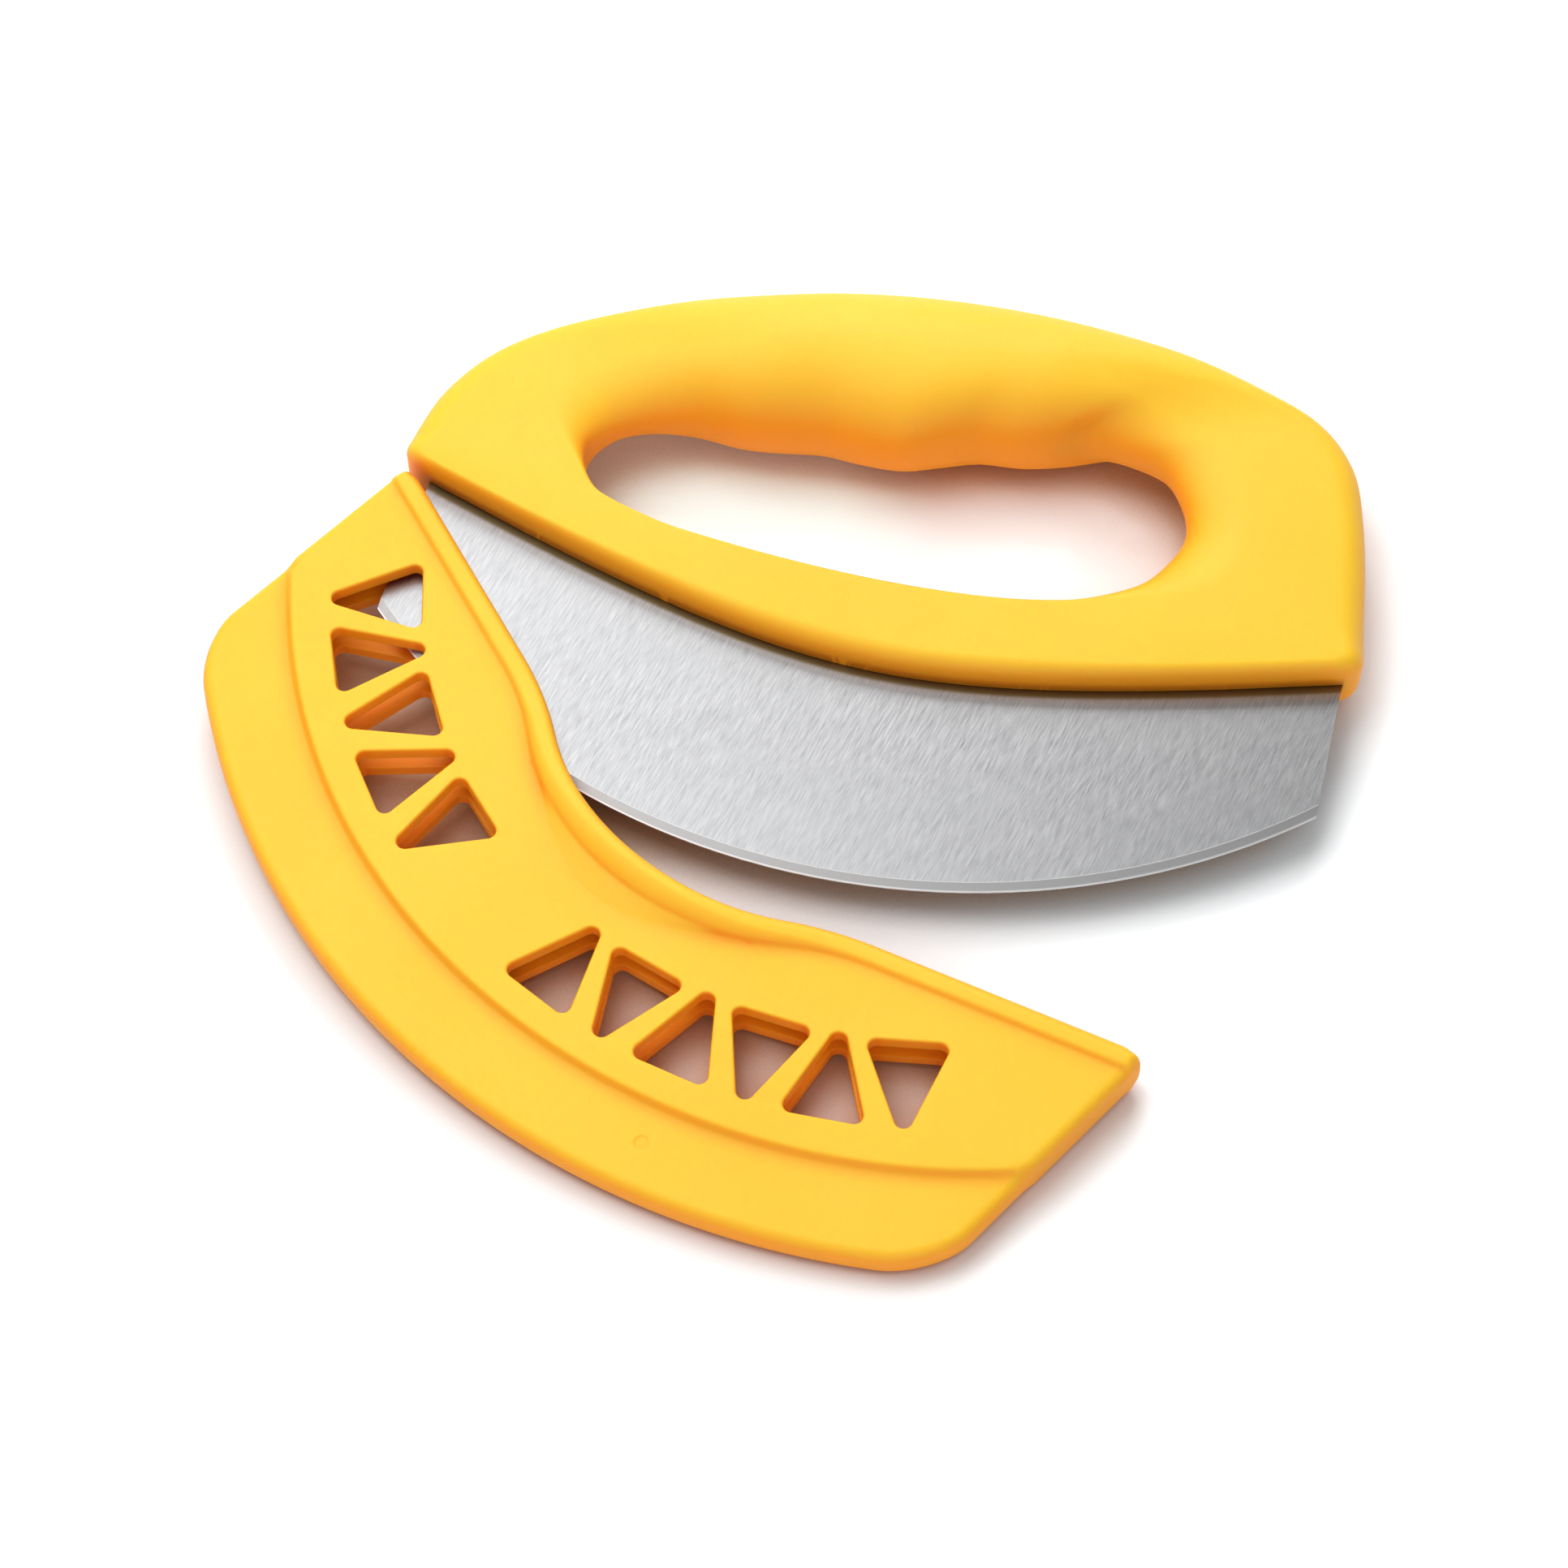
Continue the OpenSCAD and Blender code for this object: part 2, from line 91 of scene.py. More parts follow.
# Blade
BLADE_L = 148.5
BLADE_T = 1.2
EDGE_R = 108.0
BLADE_DROP = 53.8
BEVEL_W = 1.4
# Width of the painted highlight along the cutting edge
EDGE_HIGHLIGHT_W = 0.18
SLOT_ROOM = 0.1
BRUSH_LEAN = 11

# Cover
COVER_WALL = 2.2
POCKET_T = BLADE_T + 2 * 0.8
COVER_T = POCKET_T + 2 * COVER_WALL
POCKET_L = BLADE_L + 2 * 1.65
COVER_L = POCKET_L + 2 * 1.35
POCKET_DEEP = 5.8
POCKET_END_DEEP = 2.3
SLOT_SOFT = 0.35
CLOSED_SHIFT = 2.5
CLOSED_GAP = 2.9
OPEN_ANGLE = 28.57
GRIP_YAW = 6.0
PIVOT = (HANDLE_MID - 71.2, 3.3)
BAND_T = 5.0
BAND_W = 11.0
BAND_END_W = 18.9
COVER_CORNER_R = 7.0
TIP_R = 2.4
MOUTH_SLOPE = 0.335
NOTCH_R = 42.4
NOTCH_Y = 26.5
NOTCH_BLEND_R = 55.0
COVER_ROUND = 1.8
BEAD_W = 3.8
BEAD_H = 0.7
BEAD_ROUND = 1.8
BEAD_BACK = 0.9
ROLL_BACK = 2.9
BEAD_CURVE = 1.35
FLARE_H = 2.6
UNDER_FLARE_H = 1.4
FLARE_W = 8.8
FLARE_REACH = 39.0
SHELF_SHARE = 0.5
RIDGE_W = 1.4
RIDGE_IN = 2.0
WINDOW_H = 14.0
WINDOW_W = 11.6
WINDOW_R = 1.3
WINDOW_ARC_R = 87.6
WINDOW_PITCH = 7.1
WINDOW_ROWS = ((-45.0, 5, 0), (3.4, 6, 1))
WINDOW_SOFT = 0.45
PIN_MARK_AT = (33.6, 58.9)
PIN_MARK_R = 1.3
PIN_MARK_DEEP = 0.14

# Points of the handle's outline over both ends and the grip, as shares of its length and height
SHOULDERS = (
    (0.992, 0.16), (0.982, 0.34), (0.968, 0.52), (0.948, 0.68), (0.906, 0.805), (0.838, 0.88),
    (0.742, 0.949), (0.625, 0.984), (0.505, 0.976), (0.388, 0.918), (0.272, 0.813), (0.170, 0.685),
    (0.096, 0.57), (0.046, 0.44), (0.014, 0.28), (0.002, 0.13),
)
# Points of the finger hole from the middle of its lower edge, as shares of its length and height
FINGER_HOLE = (
    (0.53, 0), (0.68, 0.023), (0.79, 0.068), (0.87, 0.135), (0.94, 0.276), (0.977, 0.452),
    (0.998, 0.62), (0.982, 0.785), (0.935, 0.942), (0.86, 0.996), (0.79, 1), (0.735, 0.926),
    (0.68, 0.881), (0.615, 0.861), (0.555, 0.789), (0.5, 0.727), (0.43, 0.717), (0.37, 0.725),
    (0.31, 0.7), (0.24, 0.67), (0.16, 0.67), (0.085, 0.624), (0.03, 0.543), (-0.006, 0.41),
    (0.006, 0.27), (0.037, 0.16), (0.076, 0.109), (0.142, 0.062), (0.205, 0.034), (0.364, 0.006),
)


# Numbers and curves

def mix(a, b, k):
    return a + (b - a) * k


def ease(k):
    k = np.clip(k, 0, 1)
    return k * k * (3 - 2 * k)


def turned(p, degrees):
    a = math.radians(degrees)
    x, y = p[..., 0], p[..., 1]
    return np.stack([x * math.cos(a) - y * math.sin(a), x * math.sin(a) + y * math.cos(a)], -1)


def through(a, b, c, d, k):
    """A smooth curve through four points, between the second and the third."""
    k = k[:, None]
    return (b + (c - a) * k / 2 + (2 * a - 5 * b + 4 * c - d) * k**2 / 2
            + (3 * b - a - 3 * c + d) * k**3 / 2)


def smooth_line(points, steps, closed):
    """A dense smooth line through points; an open one runs from the second to the last but one."""
    p = np.asarray(points, float)
    k = np.arange(steps) / steps
    if closed:
        n = len(p)
        return np.concatenate([
            through(p[i - 1], p[i], p[(i + 1) % n], p[(i + 2) % n], k) for i in range(n)
        ])
    parts = [through(p[i - 1], p[i], p[i + 1], p[i + 2], k) for i in range(1, len(p) - 2)]
    return np.concatenate([*parts, p[-2:-1]])


def runs(p):
    """Distance run along a closed line up to each of its points, and once round."""
    steps = np.linalg.norm(np.roll(p, -1, 0) - p, axis=1)
    return np.concatenate([[0], np.cumsum(steps)])


def along(p, shares):
    """Points of a closed line at shares of its whole length."""
    r = runs(p)
    q = np.concatenate([p, p[:1]])
    at = np.asarray(shares) % 1 * r[-1]
    return np.stack([np.interp(at, r, q[:, 0]), np.interp(at, r, q[:, 1])], -1)


def softened(p, reach):
    """A closed line of even steps, with its bends spread over about reach points each way."""
    k = np.exp(-0.5 * (np.arange(-3 * reach, 3 * reach + 1) / reach) ** 2)
    k /= k.sum()
    n = 3 * reach
    q = np.concatenate([p[-n:], p, p[:n]])
    return np.stack([np.convolve(q[:, i], k, "valid") for i in (0, 1)], -1)


# Where things lie

joint = frame["joints"][0]
swing_axis = Vector(joint["axis"])
tilt = math.asin(-swing_axis.y)
turn = np.array(Matrix.Rotation(tilt, 3, "X") @ Matrix.Rotation(math.radians(-GRIP_YAW), 3, "Z"))
swing_at = np.array(joint["pos_m"])


def lay(points):
    """Points of the drawing, in millimetres, to their places on the table, in metres."""
    p = np.asarray(points, float) - np.array([*PIVOT, 0])
    return p @ turn.T * MM + swing_at


def lay_direction(v):
    return Vector(turn @ np.array(v, float)).normalized()


closed_at = np.array([HANDLE_MID + CLOSED_SHIFT, CORNER_Y - CLOSED_GAP])
cover_at = np.array(PIVOT) + turned(closed_at - np.array(PIVOT), -OPEN_ANGLE)


def from_cover(points):
    """Points of the cover's own drawing, with y from its mouth to the outer arc, to the drawing."""
    p = np.asarray(points, float)
    flat = cover_at + turned(p[:, :2] * [1, -1], -OPEN_ANGLE)
    return np.concatenate([flat, p[:, 2:]], 1)


# Meshes

def piece(name, points, faces, body, node):
    """A new mesh piece that stands for a CAD node."""
    mesh = bpy.data.meshes.new(name)
    mesh.from_pydata([tuple(p) for p in points], [], [tuple(f) for f in faces])
    mesh.validate()
    obj = bpy.data.objects.new(name, mesh)
    bpy.context.scene.collection.objects.link(obj)
    mesh.shade_smooth()
    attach(obj, body)
    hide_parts(node)
    return obj


def lip_y(x):
    bend = np.sqrt((x - HANDLE_MID - LIP_SHIFT) ** 2 + LIP_BEND**2) - LIP_BEND
    return -LIP_DROP + LIP_SLOPE * bend


handle_left = HANDLE_MID - HANDLE_L / 2
handle_right = HANDLE_MID + HANDLE_L / 2


def round_corner(a, b, c, steps):
    k = np.linspace(0, 1, steps + 1)[:, None]
    return mix(mix(a, b, k), mix(b, c, k), k)


def handle_outline():
    """The handle's outline, from the middle of its lip and round to the right."""
    def lip(x0, x1):
        x = np.linspace(x0, x1, 160)
        return np.stack([x, lip_y(x)], -1)

    right_tip = np.array([handle_right, lip_y(handle_right)])
    left_tip = np.array([handle_left, lip_y(handle_left)])
    up = np.array([0, CORNER_R])
    shoulders = [
        (mix(handle_left, handle_right, x), mix(CORNER_Y, HANDLE_H, y)) for x, y in SHOULDERS
    ]
    sides = smooth_line([right_tip, right_tip + up, *shoulders, left_tip + up, left_tip], 24, False)
    lip_right = lip(HANDLE_MID, handle_right - CORNER_R)
    lip_left = lip(handle_left + CORNER_R, HANDLE_MID)
    return np.concatenate([
        lip_right,
        round_corner(lip_right[-1], right_tip, right_tip + up, 16)[1:-1],
        sides,
        round_corner(left_tip + up, left_tip, lip_left[0], 16)[1:-1],
        lip_left[:-1],
    ])


def finger_hole():
    points = [(HANDLE_MID + HOLE_X + x * HOLE_L, HOLE_Y + y * HOLE_H) for x, y in FINGER_HOLE]
    return smooth_line(points, 24, True)


STATIONS = 720
QUARTER = 14
FLAT = 0.15


def hole_roundness(inner):
    """How round the edge of the finger hole is, from 0 at its lower edge to 1 along the grip."""
    x = (inner[:, 0] - HANDLE_MID - HOLE_X) / HOLE_L
    y = (inner[:, 1] - HOLE_Y) / HOLE_H
    return np.where(x > 0.5, ease((y - 0.08) / 0.42), ease((y - 0.22) / 0.36))


def loop_sections(stations):
    """Sections of the handle's loop, from its outline to the finger hole."""
    shares = np.arange(stations) / stations
    outer = softened(along(handle_outline(), shares), 2)
    inner = softened(along(finger_hole(), shares), 2)
    high = outer[:, 1] >= HANDLE_H / 3
    swell = np.where(
        high,
        ease((HANDLE_MID + GRIP_RIGHT - outer[:, 0]) / GRIP_SWELL)
        * ease((outer[:, 0] - HANDLE_MID + GRIP_LEFT) / GRIP_SWELL),
        0,
    )
    half = np.linalg.norm(outer - inner, axis=1) / 2
    rise = mix(BAR_T, GRIP_T, swell) / 2
    round_in = hole_roundness(inner)
    edge = mix(LIP_R, END_R, ease((outer[:, 1] - lip_y(outer[:, 0])) / END_R))
    out_w = mix(edge, half - FLAT, swell)
    out_h = mix(edge, rise - FLAT, swell)
    in_w = mix(HOLE_R, mix(HOLE_END_W, half - FLAT, swell), round_in)
    in_h = mix(HOLE_R, rise - FLAT, round_in)
    t = np.linspace(0, math.pi / 2, QUARTER + 1)
    c, s = np.cos(t), np.sin(t)
    first = np.stack([(half - out_w)[:, None] + out_w[:, None] * c,
                      (rise - out_h)[:, None] + out_h[:, None] * s], -1)
    second = np.stack([(in_w - half)[:, None] - in_w[:, None] * s,
                       (rise - in_h)[:, None] + in_h[:, None] * c], -1)
    flat = np.concatenate([first, second, second[:, ::-1] * [1, -1], first[:, ::-1] * [1, -1]], 1)
    mid = (outer + inner) / 2
    out = (outer - inner) / np.linalg.norm(outer - inner, axis=1)[:, None]
    plan = mid[:, None] + out[:, None] * flat[:, :, :1]
    return np.concatenate([plan, flat[:, :, 1:]], 2)


def ring_mesh(sections):
    """Points and faces of a closed ring of closed sections."""
    n, m = sections.shape[:2]
    faces = []
    for i in range(n):
        for j in range(m):
            a, b = i * m + j, i * m + (j + 1) % m
            c, d = (i + 1) % n * m + (j + 1) % m, (i + 1) % n * m + j
            faces.append((d, c, b, a))
    return sections.reshape(-1, 3), faces


def build_handle():
    points, faces = ring_mesh(loop_sections(STATIONS))
    return piece("grip_skin", lay(points), faces, "cutter", "handle_skin")


# The cover

def rise_r(top, side, x):
    return ((top - side) ** 2 + x * x) / (2 * (top - side))


edge_y = EDGE_R - BLADE_DROP
blade_low = BLADE_DROP + CORNER_Y - CLOSED_GAP
blade_corner = math.sqrt(EDGE_R**2 - BLADE_L**2 / 4) - edge_y + CORNER_Y - CLOSED_GAP
pocket_top = blade_low + POCKET_DEEP
pocket_r = rise_r(pocket_top, blade_corner + POCKET_END_DEEP, BLADE_L / 2)
pocket_y = pocket_top - pocket_r
ridge_r = pocket_r + COVER_WALL
ridge_end = pocket_y + math.sqrt(ridge_r**2 - COVER_L**2 / 4)
outer_top = pocket_y + ridge_r + BAND_W
outer_r = rise_r(outer_top, ridge_end + BAND_END_W, COVER_L / 2)
outer_y = outer_top - outer_r
notch_c = np.array([0, NOTCH_Y - NOTCH_R])
mouth_up = np.array([MOUTH_SLOPE, 1]) / math.hypot(MOUTH_SLOPE, 1)


def blend_centre():
    """Centre of the arc that joins the round notch to the straight mouth."""
    line = np.array([-mouth_up[1], mouth_up[0]])
    start = np.array([BLADE_L / 2, 0]) + mouth_up * NOTCH_BLEND_R - notch_c
    back = start @ line
    reach = NOTCH_R + NOTCH_BLEND_R
    return notch_c + start - line * (back + math.sqrt(back**2 - start @ start + reach**2))


blend_c = blend_centre()
blend_from = (blend_c - mouth_up * NOTCH_BLEND_R)[0]
blend_to = (notch_c + (blend_c - notch_c) * NOTCH_R / (NOTCH_R + NOTCH_BLEND_R))[0]


def fall(d, r):
    """How far a corner of radius r falls back at distance d from the end."""
    return r - np.sqrt(np.maximum(r * r - np.maximum(r - d, 0) ** 2, 0))


def mouth_line(u):
    a = np.abs(u)
    straight = (BLADE_L / 2 - a) * MOUTH_SLOPE
    blend = blend_c[1] - np.sqrt(np.maximum(NOTCH_BLEND_R**2 - (a - blend_c[0]) ** 2, 0))
    notch = notch_c[1] + np.sqrt(np.maximum(NOTCH_R**2 - u * u, 0))
    return np.where(a > blend_from, straight, np.where(a > blend_to, blend, notch))


def mouth_edge(u):
    return mouth_line(u) + fall(COVER_L / 2 - np.abs(u), TIP_R)


def far_edge(u):
    corner = fall(COVER_L / 2 - np.abs(u), COVER_CORNER_R)
    return outer_y + np.sqrt(outer_r**2 - u * u) - corner


def distance_to(points, line, closed=False):
    """Distance from each point to a line of short straight steps."""
    a = line if closed else line[:-1]
    d = (np.roll(line, -1, 0) if closed else line[1:]) - a
    best = np.full(len(points), 1e9)
    for start in range(0, len(points), 2000):
        p = points[start:start + 2000, None]
        k = np.clip(((p - a) * d).sum(-1) / (d * d).sum(-1), 0, 1)
        gap = np.linalg.norm(p - a - k[..., None] * d, axis=-1)
        best[start:start + 2000] = gap.min(1)
    return best


def inside(points, loop):
    """Which points lie in a closed loop."""
    x, y = points[:, :1], points[:, 1:2]
    ax, ay = loop[:, 0], loop[:, 1]
    bx, by = np.roll(ax, -1), np.roll(ay, -1)
    between = (ay > y) != (by > y)
    with np.errstate(divide="ignore", invalid="ignore"):
        crosses = x < (bx - ax) * (y - ay) / (by - ay) + ax
    return (between & crosses).sum(1) % 2 == 1


half_l = COVER_L / 2
near_end = half_l - COVER_CORNER_R * (1 - np.cos(np.linspace(0, math.pi / 2, 20)))
near_tip = half_l - TIP_R * (1 - np.cos(np.linspace(0, math.pi / 2, 12)))
far_side = np.concatenate([near_end[:-1], np.linspace(half_l - COVER_CORNER_R, 0, 90)])
mouth_half = np.concatenate([
    near_tip[:-1], [POCKET_L / 2], np.linspace(half_l - TIP_R, 0, 100)
])
mouth_half = np.unique(np.round(mouth_half, 6))[::-1]
mouth_u = np.concatenate([-mouth_half, mouth_half[::-1][1:]])
mouth = np.stack([mouth_u, mouth_edge(mouth_u)], -1)
mouth_core = np.stack([mouth_u, mouth_line(mouth_u)], -1)
far_u = np.concatenate([far_side, -far_side[::-1][1:]])
end_y = np.linspace(mouth[-1, 1], far_edge(far_u[:1])[0], 30)[1:-1]
right_end = np.stack([np.full(len(end_y), half_l), end_y], -1)
rim = np.concatenate([
    right_end,
    np.stack([far_u, far_edge(far_u)], -1),
    right_end[::-1] * [-1, 1],
])
rim_and_tips = np.concatenate([mouth[-12:], rim, mouth[:12]])
outline = np.concatenate([mouth, rim])


def offset(line, distance):
    """An open line moved to its left by distance."""
    d = np.gradient(line, axis=0)
    d /= np.linalg.norm(d, axis=1)[:, None]
    return line + np.stack([-d[:, 1], d[:, 0]], -1) * distance


def window_loop(row_angle, up, out):
    """Outline of one wedge window, grown by out."""
    tall, wide = WINDOW_H / 2 - WINDOW_R, WINDOW_W / 2 - WINDOW_R
    lean = 1 if up else -1
    centres = np.array([[0, tall], [-wide, -tall], [wide, -tall]])
    slope = math.degrees(math.atan2(wide, 2 * tall))
    starts = (slope, 180 - slope, 270)
    ends = (180 - slope, 270, 360 + slope)
    parts = []
    for c, start, end in zip(centres, starts, ends):
        a = np.radians(np.linspace(start, end, 12))
        parts.append(c + (WINDOW_R + out) * np.stack([np.cos(a), np.sin(a)], -1))
    loop = np.concatenate(parts) * [1, lean] + [0, WINDOW_ARC_R]
    return turned(loop, -row_angle) + [0, pocket_y]


windows = [
    (first + i * WINDOW_PITCH, (i + start) % 2 == 0)
    for first, count, start in WINDOW_ROWS for i in range(count)
]
window_loops = [window_loop(angle, up, 0) for angle, up in windows]


def ridge_at(u):
    """Distance of the ridge from the centre of the pocket's arc. It is flatter than that arc."""
    return ridge_r - RIDGE_IN * np.clip(1 - (2 * u / COVER_L) ** 2, 0, 1)


def cover_height(p, flare):
    """Height of the cover's outer surface over its middle plane.

    A bead runs along the mouth. Towards the notch it grows into a roll with a shelf behind it.
    """
    u = p[:, 0]
    inward = ridge_at(u) - np.hypot(u, p[:, 1] - pocket_y)
    z = mix(BAND_T / 2, COVER_T / 2, ease((inward + 0.2) / RIDGE_W))
    d = distance_to(p, mouth_core)
    share = ease(1 - np.abs(u) / FLARE_REACH)
    crest = mix(BEAD_W - 0.8, BEAD_ROUND + 0.2, share)
    foot = crest + mix(BEAD_BACK, ROLL_BACK, share)
    bead = (1 - np.clip((d - crest) / (foot - crest), 0, 1) ** BEAD_CURVE) ** (1 / BEAD_CURVE)
    shelf_w = np.maximum(FLARE_W * share - foot, 0.4)
    shelf = SHELF_SHARE * flare * share * np.clip(1 - (d - foot) / shelf_w, 0, 1)
    top = BEAD_H + flare * share
    z = z + shelf + (top - shelf) * bead
    z = z - fall(distance_to(p, mouth), BEAD_ROUND)
    z = z - PIN_MARK_DEEP * ease((PIN_MARK_R - np.hypot(*(p - PIN_MARK_AT).T)) / 0.5)
    z = z - fall(distance_to(p, rim_and_tips), COVER_ROUND)
    for loop in window_loops:
        near = np.hypot(*(p - loop.mean(0)).T) < WINDOW_H
        if near.any():
            z[near] -= fall(distance_to(p[near], loop, True), WINDOW_SOFT)
    return z


def triangles(lines):
    """Triangulates the plane with each line kept; a line is its points and whether it closes."""
    points, edges = [], []
    for line, closed in lines:
        base, n = len(points), len(line)
        points += [Vector(p) for p in line]
        edges += [(base + i, base + i + 1) for i in range(n - 1)]
        if closed:
            edges.append((base + n - 1, base))
    made = delaunay_2d_cdt(points, edges, [], 0, 1e-4)
    return np.array([tuple(p) for p in made[0]]), np.array([tuple(f) for f in made[2]])


def keep_inside(points, tris, loop, holes):
    middle = points[tris].mean(1)
    keep = inside(middle, loop)
    for hole in holes:
        keep &= ~inside(middle, hole)
    return tris[keep]


def border(tris):
    """Edges that only one triangle has, in its own direction."""
    count = {}
    for t in tris:
        for i in range(3):
            e = (int(t[i]), int(t[(i + 1) % 3]))
            count[e] = count.get(e, 0) + 1
    return [e for e in count if (e[1], e[0]) not in count]


def chain(edges):
    """Orders border edges into closed loops of points."""
    after = dict(edges)
    loops = []
    while after:
        first = next(iter(after))
        loop, at = [first], after.pop(first)
        while at != first:
            loop.append(at)
            at = after.pop(at)
        loops.append(loop)
    return loops


# Distances of the mesh lines from the mouth, from the ridge and from the middle of the pin mark
MOUTH_LINES = (*np.arange(2.05, 5.2, 0.22), 5.6, 6.4, 7.2, 8.0, 8.6, 8.8, 9.6)
RIDGE_LINES = (-0.6, -0.2, 0, 0.2, 0.4, 0.6, 0.8, 1.0, 1.4)
PIN_MARK_LINES = (0.3, 0.6, 0.8, 0.95, 1.1, 1.25, 1.4)
RIDGE_REACH = 48


def cover_lines():
    """The lines that the cover's outer surface is meshed along."""
    arc = np.linspace(0, math.pi / 2, 7)
    lines = [(outline, True)]
    for t in arc[1:]:
        lines.append((offset(rim_and_tips, COVER_ROUND * (1 - math.cos(t))), False))
    for t in arc[1:]:
        lines.append((offset(mouth, BEAD_ROUND * (1 - math.cos(t))), False))
    for d in MOUTH_LINES:
        lines.append((offset(mouth_core, d), False))
    a = np.radians(np.linspace(-RIDGE_REACH, RIDGE_REACH, 260))
    for d in RIDGE_LINES:
        r = ridge_at(ridge_r * np.sin(a)) - d
        lines.append((np.stack([r * np.sin(a), pocket_y + r * np.cos(a)], -1), False))
    a = np.linspace(0, 2 * math.pi, 40, endpoint=False)
    for r in PIN_MARK_LINES:
        lines.append((PIN_MARK_AT + r * np.stack([np.cos(a), np.sin(a)], -1), True))
    for angle, up in windows:
        for t in arc:
            lines.append((window_loop(angle, up, WINDOW_SOFT * (1 - math.cos(t))), True))
        lines.append((window_loop(angle, up, WINDOW_SOFT + 0.15), True))
    return lines


class Shell:
    """Points and faces of the cover's upper half, in the cover's own drawing.

    flat holds the points of the upper face in plan, top their numbers in the shell, and a loop is
    a closed row of places in flat.
    """

    def __init__(self):
        self.points, self.faces = [], []

    def add(self, p, z):
        self.points.append((p[0], p[1], z))
        return len(self.points) - 1

    def rim(self, flat, top, loop):
        """Walls under the rim, down to the middle plane, and the lip of the slot in the mouth."""
        ceiling = POCKET_T / 2
        in_slot = {
            i for i in loop if abs(flat[i, 0]) < POCKET_L / 2 + NEAR
            and abs(flat[i, 1] - mouth_edge(flat[i, 0])) < NEAR
        }
        levels = {}
        for i in loop:
            p = flat[i]
            if i in in_slot:
                step = 0.01
                rise = mouth_edge(p[0] + step) - mouth_edge(p[0] - step)
                lean = math.hypot(1, rise / (2 * step))
                levels[i] = [
                    top[i],
                    self.add(p, ceiling + SLOT_SOFT),
                    self.add(p + [0, SLOT_SOFT * 0.3 * lean], ceiling + SLOT_SOFT * 0.3),
                    self.add(p + [0, SLOT_SOFT * lean], ceiling),
                ]
            else:
                levels[i] = [top[i], self.add(p, 0)]
        for a, b in zip(loop, loop[1:] + loop[:1]):
            la, lb = levels[a], levels[b]
            if a in in_slot and b in in_slot:
                for k in range(3):
                    self.faces.append((lb[k], la[k], la[k + 1], lb[k + 1]))
            elif a in in_slot or b in in_slot:
                i, lip, other = (a, la, lb) if a in in_slot else (b, lb, la)
                foot = self.add(flat[i], 0)
                side = (top[i], lip[1], foot, other[1], other[0])
                self.faces.append(side if b in in_slot else side[::-1])
                self.faces.append((lip[1], lip[2], lip[3], foot))
            else:
                self.faces.append((lb[0], la[0], la[1], lb[1]))
        slot = sorted(in_slot, key=lambda i: flat[i, 0])
        return np.array([self.points[levels[i][3]][:2] for i in slot])

    def pocket(self, front, window_lines):
        """The pocket's ceiling and the wall along its arc."""
        end = math.asin(POCKET_L / 2 / pocket_r)
        a = np.linspace(end, -end, 120)
        back = np.stack([pocket_r * np.sin(a), pocket_y + pocket_r * np.cos(a)], -1)
        room = np.concatenate([front, back])
        flat, tris = triangles([(room, True), *window_lines])
        tris = keep_inside(flat, tris, room, window_loops)
        roof = [self.add(p, POCKET_T / 2) for p in flat]
        self.faces += [tuple(roof[i] for i in t[::-1]) for t in tris]
        for loop in chain(border(tris)):
            if np.ptp(flat[loop, 0]) <= POCKET_L / 2:
                continue
            lows = {i: self.add(flat[i], 0) for i in loop}
            for i, j in zip(loop, loop[1:] + loop[:1]):
                if max(distance_to(flat[[i, j]], front)) >= NEAR:
                    self.faces.append((roof[i], roof[j], lows[j], lows[i]))

    def window(self, flat, top, loop):
        """Walls of a window, from the upper face down to the pocket's ceiling."""
        lows = [self.add(flat[i], POCKET_T / 2) for i in loop]
        for k in range(len(loop)):
            n = (k + 1) % len(loop)
            self.faces.append((top[loop[n]], top[loop[k]], lows[k], lows[n]))


def build_cover():
    """The cover as one closed mesh: its upper half, and the lower one that mirrors it."""
    flat, tris = triangles(cover_lines())
    tris = keep_inside(flat, tris, outline, window_loops)
    shell = Shell()
    top = [shell.add(p, z) for p, z in zip(flat, cover_height(flat, FLARE_H))]
    shell.faces += [tuple(top[i] for i in t) for t in tris]
    loops = sorted(chain(border(tris)), key=len)
    rim_loop = max(loops, key=lambda q: np.ptp(flat[q, 0]))
    hole_loops = [q for q in loops if q is not rim_loop]
    front = shell.rim(flat, top, rim_loop)
    shell.pocket(front, [(flat[q], True) for q in hole_loops])
    for loop in hole_loops:
        shell.window(flat, top, loop)

    upper = np.array(shell.points)
    lower = upper * [1, 1, -1]
    lower[top, 2] = -cover_height(flat, UNDER_FLARE_H)
    mirrored = [tuple(i + len(upper) for i in f[::-1]) for f in shell.faces]
    both = lay(from_cover(np.concatenate([upper, lower])))
    obj = piece("cover_shell", both, shell.faces + mirrored, "cover", "blade_cover")
    weld(obj, WELD * MM)
    return obj


def weld(obj, distance):
    """Joins points that lie together, drops loose ones and turns all faces outwards."""
    bm = bmesh.new()
    bm.from_mesh(obj.data)
    bmesh.ops.remove_doubles(bm, verts=bm.verts, dist=distance)
    bmesh.ops.dissolve_degenerate(bm, edges=bm.edges, dist=distance)
    loose = [v for v in bm.verts if not v.link_faces]
    bmesh.ops.delete(bm, geom=loose, context="VERTS")
    bmesh.ops.holes_fill(bm, edges=[e for e in bm.edges if e.is_boundary], sides=4)
    bmesh.ops.recalc_face_normals(bm, faces=bm.faces)
    bm.to_mesh(obj.data)
    bm.free()
    obj.data.shade_smooth()


def crisp(obj, degrees):
    """Smooth shading with sharp edges past an angle, and flat faces that stay flat."""
    obj.data.set_sharp_from_angle(angle=math.radians(degrees))
    weighted = obj.modifiers.new("weighted_normals", "WEIGHTED_NORMAL")
    weighted.keep_sharp = True
    weighted.weight = 50


